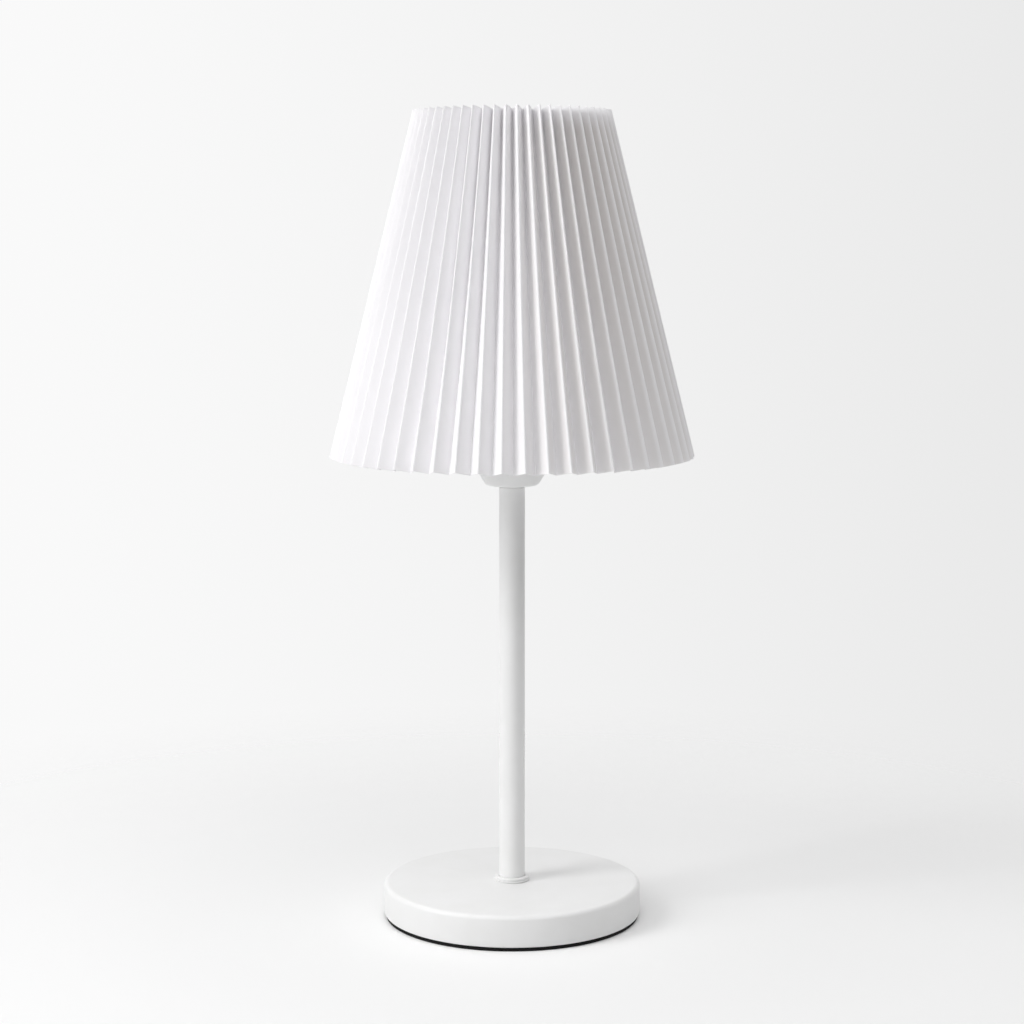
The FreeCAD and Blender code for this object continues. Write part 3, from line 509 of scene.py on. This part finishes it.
def makeStem(look):
    low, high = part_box("stem_tube")
    tube = turnPiece("stemTube", [
        (high.x - look["wall"], low.z, 0),
        (high.x, low.z, 0),
        (high.x, high.z - look["neckHeight"], 0),
        (high.x - look["neckDepth"], high.z - look["neckHeight"], 0),
        (high.x - look["neckDepth"], high.z, 0),
        (high.x - look["wall"], high.z, 0),
    ], look["around"])
    finishPiece(tube, "white_paint", "stand", "stem_tube")
    stemRadius = high.x

    low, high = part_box("stem_collar")
    split = low.z + (high.z - low.z) * look["collarSplit"]
    inner = stemRadius + look["collarGap"]
    upper = high.x - look["collarStep"]
    groove = look["collarGroove"]
    collar = turnPiece("stemCollar", [
        (inner, low.z, 0),
        (high.x - look["collarFoot"], low.z, 0),
        (high.x - look["collarFoot"], low.z + look["collarFootRise"], 0),
        (high.x, low.z + look["collarFoot"], look["grooveRound"]),
        (high.x, split - groove / 2, look["collarRound"]),
        (upper - groove, split - groove / 2, 0),
        (upper - groove, split + groove / 2, 0),
        (upper, split + groove / 2, look["grooveRound"]),
        (upper, high.z, look["collarRound"]),
        (inner, high.z, look["collarRound"]),
    ], look["around"])
    finishPiece(collar, "white_paint", "stand", "stem_collar")

    low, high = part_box("head_cup")
    cornerRadius, cornerRise = look["cupCorner"]
    cup = turnPiece("headCup", [
        (look["cupBore"], low.z, 0),
        (stemRadius, low.z, 0),
        (cornerRadius, low.z + cornerRise, look["cupRound"]),
        (high.x, high.z, look["lipRound"]),
        (high.x - look["cupWall"], high.z, look["lipRound"]),
        (look["cupInner"], low.z + look["cupFloor"], 0),
        (look["cupBore"], low.z + look["cupFloor"], 0),
    ], look["around"])
    finishPiece(cup, "white_paint", "stand", "head_cup")


# Push button: a shallow dish for the finger, over the flange that keeps it in the cap
buttonSet = {
    "flangeWidth": 1.2 * mm, "flangeThickness": 1.0 * mm, "flangeRound": 0.2 * mm,
    "edgeRound": 0.6 * mm, "dishMargin": 1.1 * mm, "dishDepth": 0.35 * mm, "dishRings": 6,
    "around": 96,
}


def makeButton(look):
    low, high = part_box("power_button")
    radius = high.x - look["flangeWidth"]
    dishRadius = radius - look["dishMargin"]
    flangeTop = low.z + look["flangeThickness"]
    outline = [
        (0, low.z, 0),
        (high.x, low.z, look["flangeRound"]),
        (high.x, flangeTop, look["flangeRound"]),
        (radius, flangeTop, 0),
        (radius, high.z, look["edgeRound"]),
    ]
    for ring in range(look["dishRings"] + 1):
        share = 1 - ring / look["dishRings"]
        outline.append((dishRadius * share, high.z - look["dishDepth"] * (1 - share ** 2), 0))
    button = turnPiece("powerButton", outline, look["around"])
    finishPiece(button, "button_plastic", "button", "power_button")


# Pleated shade: each face keeps its width, so the pleats deepen towards the narrow top
shadeSet = {
    "pleats": 54,
    "bottomRadius": 84.0 * mm,
    "topRadius": 44.7 * mm,
    "faceWidth": 7.7 * mm,
    "thickness": 0.35 * mm,
    "ridgeRound": 0.5 * mm, "valleyRound": 0.32 * mm,
    "foldHalfTurn": 60,  # degrees, half of what the paper turns by at a fold
    "foldSegments": 3,
    "bottomBow": 0.12 * mm, "topBow": 0.32 * mm,
    "wander": 0.3 * mm,  # how far a fold strays
    "turned": -0.4, "twist": 0.85, "valleyLag": 0.8,  # degrees about the stem
    "gatherTop": 0.055, "gatherBottom": -0.04,  # above 0, pleats lie closer in front
    "rows": 24,
    "columnsPerFace": 5,
    "sharpAngle": 45,
    "seed": 7,
}
pleatInputs = {
    "Geometry": "NodeSocketGeometry",
    "Pleats": "NodeSocketInt",
    "Rows": "NodeSocketInt",
    "Columns Per Face": "NodeSocketInt",
    "Bottom Radius": "NodeSocketFloat",
    "Top Radius": "NodeSocketFloat",
    "Bottom Height": "NodeSocketFloat",
    "Height": "NodeSocketFloat",
    "Face Width": "NodeSocketFloat",
    "Bottom Bow": "NodeSocketFloat",
    "Top Bow": "NodeSocketFloat",
    "Wander": "NodeSocketFloat",
    "Turned": "NodeSocketFloat",
    "Twist": "NodeSocketFloat",
    "Valley Lag": "NodeSocketFloat",
    "Gather Top": "NodeSocketFloat",
    "Gather Bottom": "NodeSocketFloat",
    "Seed": "NodeSocketInt",
    "Finish": "NodeSocketMaterial",
}
noiseSet = {"foldStride": 7.31, "riseStride": 0.2, "detail": 1.0}  # steps through the noise
slackSet = {"column": 0.0005, "fold": 0.01, "merge": 1e-6}  # for rounding in the sheet and its seam


def pleatTree():
    # Pleats ruled between outer and inner folds, both cut square at the rims
    tree = bpy.data.node_groups.new("pleatedShade", "GeometryNodeTree")
    openSockets(tree, pleatInputs, {"Geometry": "NodeSocketGeometry"})
    start = tree.nodes.new("NodeGroupInput").outputs
    end = tree.nodes.new("NodeGroupOutput")

    # Flat sheet, one column run per face of a pleat
    faces = calc(tree, "MULTIPLY", start["Pleats"], 2.0)
    columns = calc(tree, "ADD", calc(tree, "MULTIPLY", faces, start["Columns Per Face"]), 1.0)
    sheet = put(tree, "GeometryNodeMeshGrid", Size_X=1.0, Size_Y=1.0, Vertices_X=columns,
                Vertices_Y=calc(tree, "ADD", start["Rows"], 1.0))
    flat = put(tree, "ShaderNodeSeparateXYZ", _0=put(tree, "GeometryNodeInputPosition").outputs[0])
    along = calc(tree, "ADD", flat.outputs["X"], 0.5)
    rise = calc(tree, "ADD", flat.outputs["Y"], 0.5)
    spot = calc(tree, "MULTIPLY", along, faces)
    fold = calc(tree, "FLOOR", calc(tree, "ADD", spot, slackSet["column"]))
    across = calc(tree, "MAXIMUM", calc(tree, "SUBTRACT", spot, fold), 0.0)

    halfPitch = calc(tree, "DIVIDE", math.pi, start["Pleats"])
    slope = calc(tree, "DIVIDE",
                 calc(tree, "SUBTRACT", start["Bottom Radius"], start["Top Radius"]),
                 start["Height"])

    def depthAt(radius):
        # How far in from an outer fold the next inner fold lies
        swing = calc(tree, "MULTIPLY", radius, calc(tree, "SINE", halfPitch))
        chord = calc(tree, "SQRT", calc(
            tree, "SUBTRACT",
            calc(tree, "MULTIPLY", start["Face Width"], start["Face Width"]),
            calc(tree, "MULTIPLY", swing, swing)))
        inner = calc(tree, "SUBTRACT",
                     calc(tree, "MULTIPLY", radius, calc(tree, "COSINE", halfPitch)), chord)
        return calc(tree, "SUBTRACT", radius, inner)

    def byRise(low, high):
        return mixValue(tree, rise, low, high)

    outerRadius = byRise(start["Bottom Radius"], start["Top Radius"])
    depth = byRise(depthAt(start["Bottom Radius"]), depthAt(start["Top Radius"]))
    outerHeight = calc(tree, "ADD", start["Bottom Height"],
                       calc(tree, "MULTIPLY", start["Height"], rise))
    turn = calc(tree, "ADD", start["Turned"],
                calc(tree, "MULTIPLY", start["Twist"], calc(tree, "SUBTRACT", 1.0, rise)))
    lag = calc(tree, "MULTIPLY", start["Valley Lag"], rise)
    gather = byRise(start["Gather Bottom"], start["Gather Top"])

    def drift(number):
        # Seeded noise that is the same at both ends of the sheet
        place = put(tree, "ShaderNodeCombineXYZ",
                    X=calc(tree, "MULTIPLY", calc(tree, "FLOORED_MODULO", number, faces),
                           noiseSet["foldStride"]),
                    Y=calc(tree, "MULTIPLY", rise, noiseSet["riseStride"]), Z=start["Seed"])
        noise = put(tree, "ShaderNodeTexNoise", Vector=place.outputs[0], Scale=1.0,
                    Detail=noiseSet["detail"])
        sway = vectorCalc(tree, "SUBTRACT", noise.outputs["Color"], (0.5, 0.5, 0.5))
        return put(tree, "ShaderNodeSeparateXYZ", _0=sway).outputs

    def foldPoint(number):
        # Place of a fold at this height; even folds are inner ones
        isInner = calc(tree, "SUBTRACT", 1.0, calc(tree, "FLOORED_MODULO", number, 2.0))
        sway = drift(number)
        aside = calc(tree, "DIVIDE",
                     calc(tree, "MULTIPLY", sway["X"], start["Wander"]), outerRadius)
        inward = calc(tree, "MULTIPLY",
                      calc(tree, "ABSOLUTE", sway["Y"]), start["Wander"])
        even = calc(tree, "MULTIPLY", number, halfPitch)
        gathered = calc(tree, "SUBTRACT", even,
                        calc(tree, "MULTIPLY", gather, calc(tree, "SINE", even)))
        trail = calc(tree, "MULTIPLY", lag, isInner)
        angle = calc(tree, "ADD", calc(tree, "ADD", gathered, -math.pi / 2),
                     calc(tree, "ADD", calc(tree, "ADD", aside, trail), turn))
        inset = calc(tree, "ADD", calc(tree, "MULTIPLY", depth, isInner), inward)
        radius = calc(tree, "SUBTRACT", outerRadius, inset)
        height = calc(tree, "SUBTRACT", outerHeight, calc(tree, "MULTIPLY", inset, slope))
        return put(tree, "ShaderNodeCombineXYZ",
                   X=calc(tree, "MULTIPLY", radius, calc(tree, "COSINE", angle)),
                   Y=calc(tree, "MULTIPLY", radius, calc(tree, "SINE", angle)),
                   Z=height).outputs[0]

    here = foldPoint(fold)
    there = foldPoint(calc(tree, "ADD", fold, 1.0))
    straight = put(tree, "ShaderNodeMix", {"data_type": "VECTOR"}, _0=across,
                   _4=here, _5=there).outputs[1]

    # Faces belly out a little, most at the free top rim
    outward = vectorCalc(tree, "NORMALIZE", vectorCalc(
        tree, "CROSS_PRODUCT", vectorCalc(tree, "SUBTRACT", there, here), (0, 0, 1)))
    hump = calc(tree, "MULTIPLY", calc(tree, "MULTIPLY", across, 4.0),
                calc(tree, "SUBTRACT", 1.0, across))
    bow = calc(tree, "MULTIPLY", byRise(start["Bottom Bow"], start["Top Bow"]),
               calc(tree, "ADD", 1.0, calc(tree, "MULTIPLY", drift(fold)["Z"], 2.0)))
    lift = put(tree, "ShaderNodeVectorMath", {"operation": "SCALE"}, _0=outward,
               Scale=calc(tree, "MULTIPLY", hump, bow))
    place = vectorCalc(tree, "ADD", straight, lift.outputs[0])

    # Marks the columns that are folds, 1 outer and 2 inner, and how deep in a fold each column lies
    onFold = calc(tree, "LESS_THAN", across, slackSet["fold"])
    inner = calc(tree, "SUBTRACT", 1.0, calc(tree, "FLOORED_MODULO", fold, 2.0))
    mark = put(tree, "GeometryNodeStoreNamedAttribute", Geometry=sheet.outputs["Mesh"],
               Name="fold", Value=calc(tree, "MULTIPLY", onFold, calc(tree, "ADD", inner, 1.0)))
    inwards = calc(tree, "ABSOLUTE", calc(tree, "SUBTRACT", inner, across))
    deep = put(tree, "GeometryNodeStoreNamedAttribute", Geometry=mark.outputs[0],
               Name="foldDepth", Value=inwards)
    bent = put(tree, "GeometryNodeSetPosition", Geometry=deep.outputs[0], Position=place)
    closed = put(tree, "GeometryNodeMergeByDistance", Geometry=bent.outputs[0],
                 Distance=slackSet["merge"])
    real = put(tree, "GeometryNodeRealizeInstances", Geometry=closed.outputs[0])
    dressed = put(tree, "GeometryNodeSetMaterial", Geometry=real.outputs[0],
                  Material=start["Finish"])
    tree.links.new(dressed.outputs[0], end.inputs[0])
    return tree


def grow(name, tree, values):
    # Plain mesh that a Geometry Nodes tree gives for these inputs
    host = newObject(name, bpy.data.meshes.new(name))
    modifier = host.modifiers.new("build", "NODES")
    modifier.node_group = tree
    sockets = {item.name: item.identifier for item in tree.interface.items_tree
               if item.item_type == "SOCKET" and item.in_out == "INPUT"}
    for key, given in values.items():
        modifier[sockets[key]] = given
    return settle(host)


def settle(host):
    # Plain mesh that the host's modifier gives
    seen = bpy.context.evaluated_depsgraph_get()
    mesh = bpy.data.meshes.new_from_object(host.evaluated_get(seen))
    mesh.name = host.name + "Settled"
    bpy.data.objects.remove(host)
    return mesh


def thicken(name, mesh, thickness):
    # Wall grown inwards from a sheet
    host = newObject(name, mesh)
    wall = host.modifiers.new("wall", "SOLIDIFY")
    wall.thickness = thickness
    wall.offset = -1
    return settle(host)


def depthOf(look, radius):
    # How far in from an outer fold the next inner fold lies, at this radius
    halfPitch = math.pi / look["pleats"]
    swing = radius * math.sin(halfPitch)
    return radius - radius * math.cos(halfPitch) + math.sqrt(look["faceWidth"] ** 2 - swing ** 2)


def makeShade(look):
    low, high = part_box("pleated_skin")

    def roundingLoss(radius):
        # A rounded fold ends this much short of the sharp one
        openness = radius * math.sin(math.pi / look["pleats"]) / look["faceWidth"]
        return look["ridgeRound"] * (1 / openness - 1)

    slope = (look["bottomRadius"] - look["topRadius"]) / (high.z - low.z)
    valleyDrop = depthOf(look, look["bottomRadius"]) * slope
    mesh = grow("pleatedShade", pleatTree(), {
        "Pleats": look["pleats"],
        "Rows": look["rows"],
        "Columns Per Face": look["columnsPerFace"],
        "Bottom Radius": look["bottomRadius"] + roundingLoss(look["bottomRadius"]),
        "Top Radius": look["topRadius"] + roundingLoss(look["topRadius"]),
        "Bottom Height": low.z + valleyDrop,
        "Height": high.z - low.z - valleyDrop,
        "Face Width": look["faceWidth"] + roundingLoss(look["topRadius"]) / 2,
        "Bottom Bow": look["bottomBow"],
        "Top Bow": look["topBow"],
        "Wander": look["wander"],
        "Turned": math.radians(look["turned"]),
        "Twist": math.radians(look["twist"]),
        "Valley Lag": math.radians(look["valleyLag"]),
        "Gather Top": look["gatherTop"],
        "Gather Bottom": look["gatherBottom"],
        "Seed": look["seed"],
        "Finish": materials["shadePaper"],
    })
    shape = bmesh.new()
    shape.from_mesh(mesh)
    bmesh.ops.recalc_face_normals(shape, faces=shape.faces)
    # An open sheet can come out facing the stem
    if sum(face.normal.x * face.calc_center_median().x for face in shape.faces) < 0:
        bmesh.ops.reverse_faces(shape, faces=shape.faces)
    for mark, rounding in ((1, look["ridgeRound"]), (2, look["valleyRound"])):
        fold = shape.verts.layers.float["fold"]
        folds = [edge for edge in shape.edges
                 if all(round(corner[fold]) == mark for corner in edge.verts)]
        width = 2 * rounding * math.sin(math.radians(look["foldHalfTurn"]))
        bmesh.ops.bevel(shape, geom=folds, offset=width, segments=look["foldSegments"],
                        profile=0.5, affect="EDGES", offset_type="WIDTH")
    shape.to_mesh(mesh)
    shape.free()
    wall = thicken("pleatedShade", mesh, look["thickness"])
    piece = addPiece("pleatedShade", wall, look["sharpAngle"])
    finishPiece(piece, "shade_paper", "shade", "pleated_skin")


# Stage and light
stageSet = {
    "floorSize": 12.0, "floorRoughness": 0.9, "floorSpecular": 0.1,
    # Painted light: as seen, the floor is paler close to the lamp, lifting the shade the lamp casts
    # around itself
    "floorNear": 1.0, "floorFar": 0.965, "toneReach": (0.06, 0.16),  # tone of the floor as seen
    "floorLit": 0.8,  # its tone for light that it throws back
    # Painted light: as seen, the backdrop is paler on the left, towards the key lamp
    "backdropLeft": 0.95, "backdropRight": 0.822, "backdropSpread": 0.21, "backdropCurve": 1.25,
    "fadeReach": (0.18, 0.5),
}
# A share of 1 lights a surface that faces a small panel to its own colour, a wide panel to less
lightSet = {
    "ambient": 0.145,
    "aimHeight": 0.15,
    "panels": {
        "key": {"from": (-0.8, -0.42, 0.44), "far": 1.7, "size": (0.65, 1.3), "share": 0.51},
        "overhead": {"from": (0.0, 0.0, 1.0), "far": 1.9, "size": (5.0, 5.0), "share": 1.7},
        "front": {"from": (0.0, -0.5, 0.87), "far": 1.7, "size": (1.6, 1.6), "share": 0.14},
        "right": {"from": (0.9, -0.3, 0.35), "far": 1.7, "size": (1.2, 1.2), "share": 0.035},
    },
}


def seenRay(tree):
    # One for rays that look at a surface, nought for those that only light it
    path = put(tree, "ShaderNodeLightPath")
    return calc(tree, "MAXIMUM", path.outputs["Is Camera Ray"],
                calc(tree, "MAXIMUM", path.outputs["Is Glossy Ray"],
                     path.outputs["Is Transmission Ray"]))


def makeStage(look):
    size = look["floorSize"]
    mesh = bpy.data.meshes.new("floor")
    mesh.from_pydata([(-size, -size, 0), (size, -size, 0), (size, size, 0), (-size, size, 0)], [],
                     [(0, 1, 2, 3)])
    floor = newObject("floor", mesh)
    material, tree, shader = newMaterial("floorPaper")
    place = put(tree, "ShaderNodeTexCoord").outputs["Object"]
    reach = put(tree, "ShaderNodeVectorMath", {"operation": "LENGTH"}, _0=place).outputs["Value"]
    seen = seenRay(tree)
    # Painted light: paler close to the lamp, where the lamp's own shade falls
    shown = ramp(tree, reach, look["toneReach"], (look["floorNear"], look["floorFar"]))
    tone = mixValue(tree, seen, look["floorLit"], shown)
    colour = put(tree, "ShaderNodeCombineColor", _0=tone, _1=tone, _2=tone)
    feed(tree, shader, "Base_Color", colour.outputs[0])
    feed(tree, shader, "Roughness", look["floorRoughness"])
    feed(tree, shader, "Specular_IOR_Level", look["floorSpecular"])
    # Far from the lamp the floor lets the backdrop show through
    far = ramp(tree, reach, look["fadeReach"])
    clear = put(tree, "ShaderNodeBsdfTransparent")
    mix = put(tree, "ShaderNodeMixShader", _0=calc(tree, "MULTIPLY", far, seen),
              _1=shader.outputs[0], _2=clear.outputs[0])
    end = [step for step in tree.nodes if step.type == "OUTPUT_MATERIAL"][0]
    feed(tree, end, "Surface", mix.outputs[0])
    mesh.materials.append(material)


def makeSky(look, ambient):
    world = bpy.data.worlds.new("studio")
    bpy.context.scene.world = world
    world.use_nodes = True
    tree = world.node_tree
    tree.nodes.clear()
    direction = put(tree, "ShaderNodeTexCoord").outputs["Generated"]
    aside = put(tree, "ShaderNodeSeparateXYZ", _0=direction).outputs["X"]

    # Seen rays meet a backdrop that pales towards the left, painted light as if from the key lamp
    # on that side; the others an even glow
    spread = look["backdropSpread"]
    across = ramp(tree, aside, (-spread, spread), soft=False)
    backdrop = mixValue(tree, calc(tree, "POWER", across, look["backdropCurve"]),
                        look["backdropLeft"], look["backdropRight"])
    level = mixValue(tree, seenRay(tree), ambient, backdrop)
    sky = put(tree, "ShaderNodeBackground", Color=rgba((1, 1, 1)), Strength=level)
    put(tree, "ShaderNodeOutputWorld", Surface=sky.outputs[0])


def makeLight(look):
    middle = Vector((0, 0, look["aimHeight"]))
    for name, lamp in look["panels"].items():
        panel = bpy.data.lights.new(name, "AREA")
        panel.shape = "RECTANGLE"
        panel.size, panel.size_y = lamp["size"]
        panel.energy = lamp["share"] * (math.pi * lamp["far"]) ** 2
        stand = newObject(name, panel)
        aim = Vector(lamp["from"]).normalized()
        stand.location = middle + aim * lamp["far"]
        stand.rotation_euler = aim.to_track_quat("Z", "Y").to_euler()


makeCamera(cameraSet)
dressNodes()
print("nodes dressed")
makeBase(baseSet)
makeStem(stemSet)
makeButton(buttonSet)
print("base, stem and button made")
makeShade(shadeSet)
print("shade made")
makeStage(stageSet)
makeSky(stageSet, lightSet["ambient"])
makeLight(lightSet)
bpy.context.scene.view_settings.view_transform = "Standard"
print("stage and lights made")
